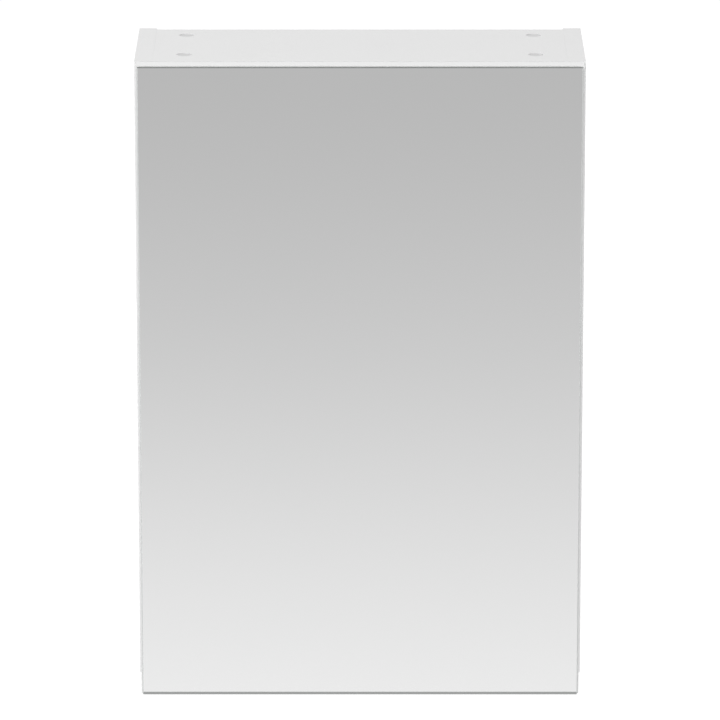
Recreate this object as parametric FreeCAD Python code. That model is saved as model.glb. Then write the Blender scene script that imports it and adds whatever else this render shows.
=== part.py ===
import FreeCAD, Part
import math
import os

# Wall-hung mirror cabinet: a board carcass with a single mirrored door on two concealed hinges.
# Millimetres. The wall is the plane y = 0 and the room lies towards -y, x runs to the viewer's right
# and z runs up. The origin is the middle of the four wall screws, on the wall.

V = FreeCAD.Vector

# Carcass
cab_w = 450.0          # outside width
cab_h = 640.0          # outside height
cab_d = 156.0          # depth of the side panels, wall to front edge
board = 18.0           # thickness of sides, top and bottom
band = 1.0             # thickness of the edge banding
rear_step = 6.0        # top and bottom stop this far short of the wall
hang_drop = 62.0       # carcass top above the middle of the wall screws

# Back sheet
sheet_t = 3.0
sheet_inset = 11.0     # wall to the sheet's rear face
groove_depth = 6.0
groove_play = 0.15
sheet_short = 0.5      # sheet stops short of the groove's floor
notch_w = 24.0         # corner notch that lets the hanger's hook out
notch_h = 22.0

# Door
door_board_t = 18.0
reveal = 2.0           # side panel showing beside the door
door_gap = 1.5         # carcass front to door back
lip = 16.0             # finger lip below the carcass
tape_t = 0.8
tape_w = 22.0
tape_inset = 26.0      # tape ends and outer strips, from the glass's edge
tape_count = 4
glass_t = 4.0
glass_side_inset = 1.75
glass_top_inset = 0.7
arris = 0.5            # ground edge of the glass
bevel_h = 3.2          # polished bevel along the bottom edge
bevel_d = 1.0
bumper_r = 4.0
bumper_t = 1.3
bumper_end = 40.0      # bumper to the carcass's top and bottom

# Knock-down fittings
cam_bore_r = 7.5
cam_play = 0.1
cam_side = 49.0        # cam's middle from the outside of the side panel
cam_front = 32.5       # cams behind the carcass front
cam_rear = 122.8
cam_below = 4.4        # cam below the bolt's axis
cap_sink = 0.7         # cap below the board's face
cap_t = 1.6
bolt_r = 2.0
bolt_head_r = 3.1
bolt_head_l = 3.0
thread_r = 2.5
thread_l = 11.0
dowel_r = 4.0
dowel_in_side = 10.0
dowel_in_panel = 20.0
dowel_front = 62.0
dowel_rear = 94.0
hole_play = 0.05       # fixed pin or screw in its hole

# Shelves
shelf_t = 5.0
shelf_d = 118.0
shelf_play = 1.5       # shelf end to side panel
shelf_back_gap = 2.0
shelf_corner = 4.0
shelf_rest = 0.2       # shelf above its pins
shelf_drops = (204.0, 405.0)   # shelf tops below the underside of the top panel
pin_r = 2.5
pin_in = 9.0
pin_collar_r = 4.2
pin_collar_t = 1.5
tongue_l = 9.5
tongue_w = 7.0
tongue_up = 1.8
tongue_down = 1.0
pin_front = 37.0       # pin columns behind the carcass front
pin_rear = 114.0
row_pitch = 32.0
row_steps = 2          # spare holes above and below each pin

# Hangers and wall plates
plate_w = 40.0
plate_t = 2.0
plate_side = 1.0       # plate to the side panel
plate_half = 18.0      # half height of the part that lies on the wall
plate_jog = 6.0        # lip stands this far off the wall
plate_lip = 9.0
screw_pitch = 20.0     # wall screws one above the other
screw_hole_r = 2.75
hook_t = 3.0
hook_h = 7.0
hook_tooth = 3.0
hook_bite = 7.0        # tooth below the lip's top
hook_off_wall = 2.4
hook_in = 7.0          # hook's middle from the side panel
hook_tail = 34.0       # hook held inside the hanger
hanger_w = 14.0
hanger_d = 42.0
hanger_below = 20.0    # hanger's underside below the ceiling
hanger_top_gap = 0.5
hanger_sheet_gap = 2.0
hook_slot_play = 0.2
adjuster_r = 3.4
adjuster_l = 6.5
adjuster_proud = 0.5
adjuster_low = 15.5    # adjusters below the ceiling
adjuster_high = 6.5
slot_w = 1.2           # screwdriver slots
slot_deep = 1.2
fix_low = 15.5         # hanger's wood screws below the ceiling
fix_rear = 8.0         # from the hanger's rear face
fix_front = 28.0
fix_r = 1.75
fix_head_r = 3.2
fix_head_t = 2.0
fix_in = 12.0

# Hinges, on the viewer's left
hinge_end = 100.0      # hinge's middle from the door's top and bottom
base_t = 3.0
base_front = 20.0      # mounting plate behind the carcass front
base_rear = 62.0
base_half = 9.0
wing_front = 29.0
wing_rear = 45.0
wing_half = 25.0
rail_h = 4.0
rail_front = 22.0
rail_rear = 58.0
rail_half = 6.0
euro_back = 37.0
euro_half = 16.0
euro_r = 2.5
euro_in = 12.0
euro_head_r = 4.0
euro_head_t = 1.5
arm_t = 5.0
arm_half = 8.0
arm_rear = 56.0
arm_neck = 20.0        # where the arm starts to rise
arm_pin_in = 15.0      # arm pin from the side panel's inner face
arm_pin_back = 3.0     # arm pin behind the carcass front
arm_nose_r = 3.5
arm_slot_back = 9.0
arm_screw_front = 30.0
arm_screw_rear = 48.0
arm_screw_r = 1.9
arm_screw_head_r = 3.2
arm_screw_head_t = 1.8
arm_screw_short = 0.5  # screw's tip above the mounting plate
link_half = 4.7
link_side_play = 0.3
link_bar_r = 1.3
link_arm_eye_r = 3.0
link_cup_eye_r = 2.4
arm_pin_r = 1.5
cup_pin_r = 1.25
pin_play = 0.05
cup_r = 17.5
cup_tab = 5.0          # door edge to the cup
cup_depth = 12.0
cup_wall = 1.2
cup_floor = 1.1
cup_bore_play = 0.05
cup_pin_in = 11.65     # cup pin from the door's edge
cup_pin_deep = 4.2     # cup pin behind the door's rear face
cup_pin_short = 0.15   # pin's ends inside the cup's wall
crank_in = 20.4        # corner of the cranked link, measured as the cup pin
crank_deep = 9.15
ear_t = 1.0
ear_half = 30.0
ear_left = 7.0
ear_right = 9.0
cup_screw_half = 24.0
cup_screw_r = 1.7
cup_screw_in = 12.0
cup_screw_head_r = 3.3
cup_screw_head_t = 1.2

# Places worked out from the sizes above
x_out = cab_w / 2
x_in = x_out - board
z_top = hang_drop
z_bot = z_top - cab_h
z_ceil = z_top - board
z_floor = z_bot + board
y_front = -cab_d
y_core = y_front + band
door_x = x_out - reveal
door_bot = z_bot - lip
y_door_back = y_front - door_gap
y_door_front = y_door_back - door_board_t
y_glass_back = y_door_front - tape_t
y_glass_front = y_glass_back - glass_t
y_sheet_front = -(sheet_inset + sheet_t)
cam_x = x_out - cam_side
z_lip = plate_half + plate_jog + plate_lip
hinge_levels = {"upper": z_top - hinge_end, "lower": door_bot + hinge_end}
cup_x = -door_x + cup_tab + cup_r
arm_pin = (-x_in + arm_pin_in, y_front + arm_pin_back)
cup_pin = (-door_x + cup_pin_in, y_door_back - cup_pin_deep)
crank = (-door_x + crank_in, y_door_back - crank_deep)
cup_pin_reach = abs(cup_pin[0] - cup_x) + cup_pin_r
cup_pin_half = math.sqrt((cup_r - cup_bore_play) ** 2 - cup_pin_reach ** 2) - cup_pin_short


def box(x0, x1, y0, y1, z0, z1):
    """Block between two corners, given in any order."""
    low = V(min(x0, x1), min(y0, y1), min(z0, z1))
    return Part.makeBox(abs(x1 - x0), abs(y1 - y0), abs(z1 - z0), low)


def rod(radius, start, end):
    """Round bar between two points."""
    a, b = V(*start), V(*end)
    return Part.makeCylinder(radius, (b - a).Length, a, b - a)


def prism(points, depth):
    """Flat outline pushed along a vector."""
    wire = Part.makePolygon([V(*p) for p in points + points[:1]])
    return Part.Face(wire).extrude(V(*depth))


def fused(shapes):
    """One solid from shapes that overlap or touch."""
    return shapes[0].fuse(shapes[1:]).removeSplitter()


def cut(shape, tools):
    """The shape less every tool."""
    return shape.cut(Part.makeCompound(tools)) if tools else shape


def group(shapes):
    """Separate solids that share one node."""
    return Part.makeCompound(shapes)


def carcass_corners():
    """Side of the cabinet and level of the panel for the four board corners."""
    return [(side, level) for side in (-1, 1) for level in (1, -1)]


def panel_face(level):
    """Outer face of the top (1) or bottom (-1) panel."""
    return z_top if level > 0 else z_bot


def panel_middle(level):
    return panel_face(level) - level * board / 2


def fitting_rows():
    return [y_front + cam_front, y_front + cam_rear]


def dowel_rows():
    return [y_front + dowel_front, y_front + dowel_rear]


def bolt_stages(side, level, y, play):
    """Thread in the side panel, then the shank and head that reach the cam."""
    z = panel_middle(level)
    head_out = cam_x + bolt_head_l / 2
    head_in = cam_x - bolt_head_l / 2
    return [
        rod(thread_r + play, (side * x_in, y, z), (side * (x_in + thread_l), y, z)),
        rod(bolt_r, (side * head_out, y, z), (side * x_in, y, z)),
        rod(bolt_head_r, (side * head_in, y, z), (side * head_out, y, z)),
    ]


def cam_bolts():
    return group([fused(bolt_stages(s, k, y, 0)) for s, k in carcass_corners() for y in fitting_rows()])


def cam_lock(side, level, y):
    """Cam with the slot that takes the bolt's head from the side."""
    z = panel_middle(level)
    outer = panel_face(level) - level * (cap_sink + cap_t)
    x = side * cam_x
    body = rod(cam_bore_r - cam_play, (x, y, outer), (x, y, z - level * cam_below))
    room = bolt_head_r + 2 * cam_play
    slot = box(x - side * room, x + side * cam_bore_r, y - room, y + room, z - room, z + room)
    return cut(body, [slot])


def cam_locks():
    return group([cam_lock(s, k, y) for s, k in carcass_corners() for y in fitting_rows()])


def cam_caps():
    caps = []
    for side, level in carcass_corners():
        for y in fitting_rows():
            face = panel_face(level) - level * cap_sink
            x = side * cam_x
            caps.append(rod(cam_bore_r - cam_play, (x, y, face), (x, y, face - level * cap_t)))
    return group(caps)


def dowel(side, level, y, play):
    z = panel_middle(level)
    ends = (side * (x_in - dowel_in_panel), y, z), (side * (x_in + dowel_in_side), y, z)
    return rod(dowel_r + play, *ends)


def dowels():
    return group([dowel(s, k, y, 0) for s, k in carcass_corners() for y in dowel_rows()])


def sheet_groove():
    """Space that the back sheet's four grooves take out of the boards."""
    wide = x_in + groove_depth
    rear = -sheet_inset + groove_play
    return box(-wide, wide, rear, y_sheet_front - groove_play, z_floor - groove_depth, z_ceil + groove_depth)


def level_panel(level):
    """Top or bottom panel with its cam bores, bolt bores, dowel holes and groove."""
    face = panel_face(level)
    z = panel_middle(level)
    tools = [sheet_groove()]
    for side in (-1, 1):
        x = side * cam_x
        for y in fitting_rows():
            tools.append(rod(cam_bore_r, (x, y, face), (x, y, z - level * (cam_below + cam_play))))
            tools.append(rod(bolt_head_r + 2 * cam_play, (x, y, z), (side * x_in, y, z)))
        tools += [dowel(side, level, y, hole_play) for y in dowel_rows()]
    return cut(box(-x_in, x_in, y_core, -rear_step, face, face - level * board), tools)


def shelf_bottom(drop):
    return z_ceil - drop - shelf_t


def pin_level(drop):
    return shelf_bottom(drop) - shelf_rest - tongue_up


def pin_rows():
    return [y_front + pin_front, y_front + pin_rear]


def pin_holes(side):
    holes = []
    for drop in shelf_drops:
        for y in pin_rows():
            for step in range(-row_steps, row_steps + 1):
                z = pin_level(drop) + step * row_pitch
                ends = (side * x_in, y, z), (side * (x_in + pin_in + pin_play), y, z)
                holes.append(rod(pin_r + hole_play, *ends))
    return holes


def hanger_screw_places():
    rear = y_sheet_front - hanger_sheet_gap
    return [(rear - fix_rear, z_ceil - fix_low), (rear - fix_front, z_ceil - fix_low)]


def euro_places():
    return [z + turn * euro_half for z in hinge_levels.values() for turn in (-1, 1)]


def side_panel(side):
    """Side panel with its groove, corner fittings, pin rows and screw holes."""
    tools = [sheet_groove()] + pin_holes(side)
    for level in (1, -1):
        tools += [bolt_stages(side, level, y, hole_play)[0] for y in fitting_rows()]
        tools += [dowel(side, level, y, hole_play) for y in dowel_rows()]
    for y, z in hanger_screw_places():
        tools.append(rod(fix_r + hole_play, (side * x_in, y, z), (side * (x_in + fix_in), y, z)))
    if side < 0:
        y = y_front + euro_back
        for z in euro_places():
            tools.append(rod(euro_r + hole_play, (-x_in, y, z), (-x_in - euro_in, y, z)))
    return cut(box(side * x_in, side * x_out, y_core, 0, z_bot, z_top), tools)


def carcass_banding():
    """White strips on the front edges of the four boards."""
    strips = [box(s * x_in, s * x_out, y_front, y_core, z_bot, z_top) for s in (-1, 1)]
    for level in (1, -1):
        face = panel_face(level)
        strips.append(box(-x_in, x_in, y_front, y_core, face, face - level * board))
    return group(strips)


def back_panel():
    """Thin sheet in the grooves, notched at its upper corners for the hooks."""
    wide = x_in + groove_depth - sheet_short
    low = z_floor - groove_depth + sheet_short
    high = z_ceil + groove_depth - sheet_short
    sheet = box(-wide, wide, -sheet_inset, y_sheet_front, low, high)
    notches = []
    for side in (-1, 1):
        inner = side * (x_in - notch_w)
        notches.append(box(inner, side * x_out, 0, 2 * y_sheet_front, z_ceil - notch_h, z_top))
    return cut(sheet, notches)


def shelf(drop):
    """Glass shelf with rounded front corners."""
    half = x_in - shelf_play
    rear = y_sheet_front - shelf_back_gap
    low = shelf_bottom(drop)
    pane = box(-half, half, rear, rear - shelf_d, low, low + shelf_t)
    front = rear - shelf_d
    corners = [e for e in pane.Edges if abs(e.CenterOfMass.y - front) < arris and e.Length < 2 * shelf_t]
    upright = [e for e in corners if abs(e.CenterOfMass.x) > half - arris]
    return pane.makeFillet(shelf_corner, upright)


def shelf_pin(side, y, z):
    """Stem in the side panel, a collar and a flat tongue under the shelf."""
    x = side * x_in
    root = x - side * pin_collar_t
    stem = rod(pin_r, (x + side * pin_in, y, z), (x, y, z))
    collar = rod(pin_collar_r, (x, y, z), (root, y, z))
    tip = root - side * tongue_l
    tongue = box(root, tip, y - tongue_w / 2, y + tongue_w / 2, z - tongue_down, z + tongue_up)
    top_trim = box(x, root, y - board, y + board, z + tongue_up, z + board)
    return fused([stem, cut(collar, [top_trim]), tongue])


def shelf_pins():
    spots = [(s, y, pin_level(d)) for s in (-1, 1) for y in pin_rows() for d in shelf_drops]
    return group([shelf_pin(*spot) for spot in spots])


def wall_plate_x(side):
    return side * (x_in - plate_side - plate_w / 2)


def wall_plate(side):
    """Cranked steel plate: flat on the wall, with a lip that stands off it."""
    start = wall_plate_x(side) - plate_w / 2
    bend = plate_t * math.tan(math.pi / 8)
    outline = [
        (start, 0, -plate_half),
        (start, 0, plate_half),
        (start, -plate_jog, plate_half + plate_jog),
        (start, -plate_jog, z_lip),
        (start, -plate_jog - plate_t, z_lip),
        (start, -plate_jog - plate_t, plate_half + plate_jog - bend),
        (start, -plate_t, plate_half - bend),
        (start, -plate_t, -plate_half),
    ]
    x = wall_plate_x(side)
    holes = []
    for turn in (-1, 1):
        z = turn * screw_pitch / 2
        holes.append(rod(screw_hole_r, (x, 0, z), (x, -plate_t, z)))
    return cut(prism(outline, (plate_w, 0, 0)), holes)


def hook_x(side):
    return side * (x_in - hook_in)


def hanger_rear():
    return y_sheet_front - hanger_sheet_gap


def hanger_hook(side):
    """Flat steel hook that hangs on the wall plate's lip."""
    start = hook_x(side) - hook_t / 2
    tail = hanger_rear() - hook_tail
    outline = [
        (start, tail, z_lip),
        (start, tail, z_lip + hook_h),
        (start, -hook_off_wall, z_lip + hook_h),
        (start, -hook_off_wall, z_lip - hook_bite),
        (start, -hook_off_wall - hook_tooth, z_lip - hook_bite),
        (start, -hook_off_wall - hook_tooth, z_lip),
    ]
    return prism(outline, (hook_t, 0, 0))


def adjuster_levels():
    return [z_ceil - adjuster_low, z_ceil - adjuster_high]


def hanger_body(side):
    """Moulded housing screwed into the upper corner, with the hook in its slot."""
    x = side * x_in
    inner = side * (x_in - hanger_w)
    rear = hanger_rear()
    front = rear - hanger_d
    body = box(x, inner, rear, front, z_ceil - hanger_below, z_ceil - hanger_top_gap)
    wide = hook_t / 2 + hook_slot_play
    mid = hook_x(side)
    tools = [
        box(mid - wide, mid + wide, rear, rear - hook_tail - hook_slot_play,
            z_lip - hook_slot_play, z_lip + hook_h + hook_slot_play)
    ]
    for z in adjuster_levels():
        tools.append(rod(adjuster_r + hole_play, (mid, front, z), (mid, front + adjuster_l, z)))
    for y, z in hanger_screw_places():
        tools.append(rod(fix_r + hole_play, (x, y, z), (inner, y, z)))
        tools.append(rod(fix_head_r + hole_play, (inner, y, z), (inner + side * fix_head_t, y, z)))
    return cut(body, tools)


def hanger_adjusters():
    """Slotted screws in the front of each hanger."""
    front = hanger_rear() - hanger_d
    tip = front - adjuster_proud
    screws = []
    for side in (-1, 1):
        x = hook_x(side)
        for z in adjuster_levels():
            slot = box(x - adjuster_r, x + adjuster_r, tip, tip + slot_deep, z - slot_w / 2, z + slot_w / 2)
            screws.append(cut(rod(adjuster_r, (x, tip, z), (x, front + adjuster_l, z)), [slot]))
    return group(screws)


def hanger_screws():
    screws = []
    for side in (-1, 1):
        inner = x_in - hanger_w
        under_head = inner + fix_head_t
        for y, z in hanger_screw_places():
            head = rod(fix_head_r, (side * inner, y, z), (side * under_head, y, z))
            shank = rod(fix_r, (side * under_head, y, z), (side * (x_in + fix_in), y, z))
            screws.append(fused([head, shank]))
    return group(screws)


def hinge_base(z):
    """Mounting plate with two wings and the rail that carries the arm."""
    x, rail_x = -x_in, -x_in + base_t
    rail_top = rail_x + rail_h
    plate = box(x, rail_x, y_front + base_front, y_front + base_rear, z - base_half, z + base_half)
    wings = box(x, rail_x, y_front + wing_front, y_front + wing_rear, z - wing_half, z + wing_half)
    rail = box(rail_x, rail_top, y_front + rail_front, y_front + rail_rear, z - rail_half, z + rail_half)
    tools = []
    for turn in (-1, 1):
        level = z + turn * euro_half
        y = y_front + euro_back
        tools.append(rod(euro_r + hole_play, (x, y, level), (rail_x, y, level)))
    for back in (arm_screw_front, arm_screw_rear):
        y = y_front + back
        tools.append(rod(arm_screw_r + hole_play, (rail_x + arm_screw_short, y, z), (rail_top, y, z)))
    return cut(fused([plate, wings, rail]), tools)


def hinge_base_screws():
    screws = []
    y = y_front + euro_back
    face = -x_in + base_t
    for z in euro_places():
        head = rod(euro_head_r, (face, y, z), (face + euro_head_t, y, z))
        shank = rod(euro_r, (-x_in - euro_in, y, z), (face, y, z))
        slot = box(face + euro_head_t, face + euro_head_t - slot_deep, y - slot_w / 2, y + slot_w / 2,
                   z - euro_head_r, z + euro_head_r)
        screws.append(cut(fused([head, shank]), [slot]))
    return group(screws)


def arm_faces():
    """Lower and upper face of the arm, from the side panel inward."""
    low = -x_in + base_t + rail_h
    return low, low + arm_t


def hinge_arm(z):
    """Arm that rises from the rail to a forked nose round the arm pin."""
    low, high = arm_faces()
    ax, ay = arm_pin
    bottom = z - arm_half
    outline = [
        (low, y_front + arm_rear, bottom),
        (high, y_front + arm_rear, bottom),
        (high, y_front + arm_neck, bottom),
        (ax + arm_nose_r, ay, bottom),
        (ax - arm_nose_r, ay, bottom),
        (low, y_front + arm_neck, bottom),
    ]
    nose = rod(arm_nose_r, (ax, ay, bottom), (ax, ay, bottom + 2 * arm_half))
    gap = link_half + link_side_play
    fork = box(ax - board, ax + board, ay - board, y_front + arm_slot_back, z - gap, z + gap)
    tools = [fork, rod(arm_pin_r, (ax, ay, z - arm_half), (ax, ay, z + arm_half))]
    for back in (arm_screw_front, arm_screw_rear):
        y = y_front + back
        tools.append(rod(arm_screw_r + hole_play, (low, y, z), (high, y, z)))
    return cut(fused([prism(outline, (0, 0, 2 * arm_half)), nose]), tools)


def hinge_arm_screws():
    """Adjusting screws through each arm into its rail."""
    high = arm_faces()[1]
    tip = -x_in + base_t + arm_screw_short
    top = high + arm_screw_head_t
    screws = []
    for z in hinge_levels.values():
        for back in (arm_screw_front, arm_screw_rear):
            y = y_front + back
            head = rod(arm_screw_head_r, (high, y, z), (top, y, z))
            shank = rod(arm_screw_r, (tip, y, z), (high, y, z))
            slot = box(top, top - slot_deep, y - slot_w / 2, y + slot_w / 2,
                       z - arm_screw_head_r, z + arm_screw_head_r)
            screws.append(cut(fused([head, shank]), [slot]))
    return group(screws)


def hinge_arm_pins():
    ax, ay = arm_pin
    levels = hinge_levels.values()
    return group([rod(arm_pin_r, (ax, ay, z - arm_half), (ax, ay, z + arm_half)) for z in levels])


def link_bar(start, end, z):
    """Straight stretch of the link between two plan points."""
    run = V(end[0] - start[0], end[1] - start[1], 0).normalize()
    side = V(-run.y, run.x, 0) * link_bar_r
    a, b = V(start[0], start[1], z - link_half), V(end[0], end[1], z - link_half)
    return prism([tuple(p) for p in (a + side, b + side, b - side, a - side)], (0, 0, 2 * link_half))


def upright_rod(radius, spot, z, half):
    return rod(radius, (spot[0], spot[1], z - half), (spot[0], spot[1], z + half))


def hinge_link(z):
    """Cranked link from the arm pin, round the door's edge, to the cup pin."""
    solid = fused([
        upright_rod(link_arm_eye_r, arm_pin, z, link_half),
        link_bar(arm_pin, crank, z),
        upright_rod(link_bar_r, crank, z, link_half),
        link_bar(crank, cup_pin, z),
        upright_rod(link_cup_eye_r, cup_pin, z, link_half),
    ])
    eyes = [
        upright_rod(arm_pin_r + pin_play, arm_pin, z, link_half),
        upright_rod(cup_pin_r + pin_play, cup_pin, z, link_half),
    ]
    return cut(solid, eyes)


def cup_screw_levels(z):
    return [z + turn * cup_screw_half for turn in (-1, 1)]


def hinge_cup(z):
    """Round cup let into the door, with two ears on the door's rear face."""
    mouth = (cup_x, y_door_back, z)
    ears = box(cup_x - ear_left, cup_x + ear_right, y_door_back, y_door_back + ear_t, z - ear_half, z + ear_half)
    shell = rod(cup_r - cup_bore_play, mouth, (cup_x, y_door_back - cup_depth, z))
    inside = rod(cup_r - cup_wall, (cup_x, y_door_back + ear_t, z), (cup_x, y_door_back - cup_depth + cup_floor, z))
    tools = [inside, upright_rod(cup_pin_r, cup_pin, z, cup_pin_half)]
    for level in cup_screw_levels(z):
        tools.append(rod(cup_screw_r + hole_play, (cup_x, y_door_back, level), (cup_x, y_door_back + ear_t, level)))
    return cut(fused([shell, ears]), tools)


def hinge_cup_pins():
    return group([upright_rod(cup_pin_r, cup_pin, z, cup_pin_half) for z in hinge_levels.values()])


def hinge_cup_screws():
    screws = []
    face = y_door_back + ear_t
    top = face + cup_screw_head_t
    for z in hinge_levels.values():
        for level in cup_screw_levels(z):
            head = rod(cup_screw_head_r, (cup_x, face, level), (cup_x, top, level))
            shank = rod(cup_screw_r, (cup_x, y_door_back - cup_screw_in, level), (cup_x, face, level))
            slot = box(cup_x - cup_screw_head_r, cup_x + cup_screw_head_r, top, top - slot_deep / 2,
                       level - slot_w / 2, level + slot_w / 2)
            screws.append(cut(fused([head, shank]), [slot]))
    return group(screws)


def door_board():
    """Door core inside its banding, bored for the hinge cups and their screws."""
    tools = []
    for z in hinge_levels.values():
        tools.append(rod(cup_r, (cup_x, y_door_back, z), (cup_x, y_door_back - cup_depth, z)))
        for level in cup_screw_levels(z):
            deep = y_door_back - cup_screw_in
            tools.append(rod(cup_screw_r + hole_play, (cup_x, y_door_back, level), (cup_x, deep, level)))
    half = door_x - band
    return cut(box(-half, half, y_door_front, y_door_back, door_bot + band, z_top - band), tools)


def door_banding():
    """White strips round the door's four edges."""
    strips = [box(s * door_x, s * (door_x - band), y_door_front, y_door_back, door_bot, z_top) for s in (-1, 1)]
    half = door_x - band
    strips.append(box(-half, half, y_door_front, y_door_back, z_top, z_top - band))
    strips.append(box(-half, half, y_door_front, y_door_back, door_bot, door_bot + band))
    return group(strips)


def mirror_tape():
    """Upright strips of foam tape between the door and the glass."""
    half = door_x - glass_side_inset - tape_inset - tape_w / 2
    low, high = door_bot + tape_inset, z_top - glass_top_inset - tape_inset
    strips = []
    for n in range(tape_count):
        x = -half + 2 * half * n / (tape_count - 1)
        strips.append(box(x - tape_w / 2, x + tape_w / 2, y_glass_back, y_door_front, low, high))
    return group(strips)


def mirror_glass():
    """Mirror pane with ground edges and a polished bevel along the bottom."""
    half = door_x - glass_side_inset
    top = z_top - glass_top_inset
    section = [
        (-half, y_glass_back, door_bot),
        (-half, y_glass_back, top),
        (-half, y_glass_front + arris, top),
        (-half, y_glass_front, top - arris),
        (-half, y_glass_front, door_bot + bevel_h),
        (-half, y_glass_front + bevel_d, door_bot),
    ]
    pane = prism(section, (2 * half, 0, 0))
    trims = []
    for side in (-1, 1):
        edge = side * half
        corner = [
            (edge, y_glass_front, door_bot),
            (edge - side * arris, y_glass_front, door_bot),
            (edge, y_glass_front + arris, door_bot),
        ]
        trims.append(prism(corner, (0, 0, top - door_bot)))
    return cut(pane, trims)


def door_bumpers():
    """Soft buttons on the closing edge of the right side panel."""
    x = x_in + board / 2
    levels = (z_top - bumper_end, z_bot + bumper_end)
    return group([rod(bumper_r, (x, y_front, z), (x, y_front - bumper_t, z)) for z in levels])


nodes = {
    "side_panel_left": side_panel(-1),
    "side_panel_right": side_panel(1),
    "top_panel": level_panel(1),
    "bottom_panel": level_panel(-1),
    "back_panel": back_panel(),
    "carcass_edge_banding": carcass_banding(),
    "cam_locks": cam_locks(),
    "cam_bolts": cam_bolts(),
    "cam_caps": cam_caps(),
    "dowels": dowels(),
    "shelf_upper": shelf(shelf_drops[0]),
    "shelf_lower": shelf(shelf_drops[1]),
    "shelf_pins": shelf_pins(),
    "wall_plate_left": wall_plate(-1),
    "wall_plate_right": wall_plate(1),
    "hanger_hook_left": hanger_hook(-1),
    "hanger_hook_right": hanger_hook(1),
    "hanger_body_left": hanger_body(-1),
    "hanger_body_right": hanger_body(1),
    "hanger_adjusters": hanger_adjusters(),
    "hanger_screws": hanger_screws(),
    "hinge_base_screws": hinge_base_screws(),
    "hinge_arm_screws": hinge_arm_screws(),
    "hinge_arm_pins": hinge_arm_pins(),
    "hinge_cup_pins": hinge_cup_pins(),
    "hinge_cup_screws": hinge_cup_screws(),
    "door_board": door_board(),
    "door_edge_banding": door_banding(),
    "mirror_tape": mirror_tape(),
    "mirror_glass": mirror_glass(),
    "door_bumpers": door_bumpers(),
}
for name, level in hinge_levels.items():
    nodes["hinge_base_" + name] = hinge_base(level)
    nodes["hinge_arm_" + name] = hinge_arm(level)
    nodes["hinge_link_" + name] = hinge_link(level)
    nodes["hinge_cup_" + name] = hinge_cup(level)

os.makedirs("parts", exist_ok=True)
for name, shape in nodes.items():
    shape.exportStep("parts/" + name + ".step")
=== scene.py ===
# %% [markdown]
# # A wall-hung mirror cabinet
# The cabinet arrives as a frame of finished CAD nodes: boards, glass, hinges and fittings, each in
# its real place and in metres. This lesson lights it, gives each surface its finish, and models the
# small fittings again by hand where a plain solid looks too hard. The box that the CAD fills is kept.

# %% Load the frame
import math
import bpy
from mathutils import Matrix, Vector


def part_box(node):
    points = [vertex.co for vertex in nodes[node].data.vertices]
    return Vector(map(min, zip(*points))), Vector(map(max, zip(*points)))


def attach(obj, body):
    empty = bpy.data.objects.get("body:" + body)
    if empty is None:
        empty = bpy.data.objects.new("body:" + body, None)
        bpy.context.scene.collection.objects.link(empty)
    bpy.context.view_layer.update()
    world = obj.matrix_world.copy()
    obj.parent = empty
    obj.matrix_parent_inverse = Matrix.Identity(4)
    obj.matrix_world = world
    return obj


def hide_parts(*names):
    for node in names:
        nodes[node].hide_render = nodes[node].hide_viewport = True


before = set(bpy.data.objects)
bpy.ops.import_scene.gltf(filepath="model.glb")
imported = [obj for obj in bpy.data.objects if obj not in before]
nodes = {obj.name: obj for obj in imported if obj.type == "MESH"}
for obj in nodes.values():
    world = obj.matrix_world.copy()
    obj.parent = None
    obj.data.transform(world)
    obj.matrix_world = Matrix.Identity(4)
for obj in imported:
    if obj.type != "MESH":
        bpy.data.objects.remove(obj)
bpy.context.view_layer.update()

# %% [markdown]
# ## The camera
# The cabinet is seen straight from the front and from a little above, so the mirror fills the picture
# and the top shows as a narrow band. A short lens would make the mirror's sides lean together towards
# the bottom. A long lens from far away keeps them nearly upright, as they are on the real door, and
# needs no lens shift.

# %% Place the camera
AIM = (0.0, -0.156, -0.2462)
CAMERA_DISTANCE = 6.0
CAMERA_TILT = math.radians(15.5)
SENSOR_WIDTH = 36.0
LENS = 297.3
CLIP_END = 200.0

bpy.ops.object.select_all(action="DESELECT")
camera_place = (
    AIM[0],
    AIM[1] - CAMERA_DISTANCE * math.cos(CAMERA_TILT),
    AIM[2] + CAMERA_DISTANCE * math.sin(CAMERA_TILT),
)
bpy.ops.object.camera_add(location=camera_place, rotation=(math.pi / 2 - CAMERA_TILT, 0, 0))
camera = bpy.context.object
camera.name = "front_camera"
camera.data.sensor_width = SENSOR_WIDTH
camera.data.lens = LENS
camera.data.clip_end = CLIP_END
bpy.context.scene.camera = camera
bpy.context.scene.view_settings.view_transform = "Standard"
print("camera at", [round(v, 3) for v in camera_place], "lens", LENS)

# %% [markdown]
# ## Small helpers for node trees
# Every finish below is a handful of shader nodes. A socket gets either a fixed number or colour, or the
# output of another node. These helpers take both in the same way, so that each material reads as a
# short list of what it does.

# %% Node helpers
def feed(tree, node, values):
    """Gives sockets, by name or number, their values: an output is wired, anything else is set."""
    for key, value in values.items():
        if isinstance(value, bpy.types.NodeSocket):
            tree.links.new(value, node.inputs[key])
        else:
            node.inputs[key].default_value = value


def add_node(tree, kind, values=None, **settings):
    """A new node with its settings and the values of its sockets."""
    made = tree.nodes.new(kind)
    for key, value in settings.items():
        setattr(made, key, value)
    feed(tree, made, values or {})
    return made


def calculate(tree, operation, *parts):
    """The output of a Math node."""
    return add_node(tree, "ShaderNodeMath", dict(enumerate(parts)), operation=operation).outputs[0]


def rescale(tree, value, limits, **settings):
    """The output of a Map Range node, with its limits by name."""
    return add_node(tree, "ShaderNodeMapRange", {"Value": value, **limits}, **settings).outputs[0]


def blend(tree, share, first, second):
    """The output of a Mix node for two colours."""
    mixed = add_node(tree, "ShaderNodeMix", {0: share, 6: first, 7: second}, data_type="RGBA")
    return mixed.outputs[2]


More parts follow.
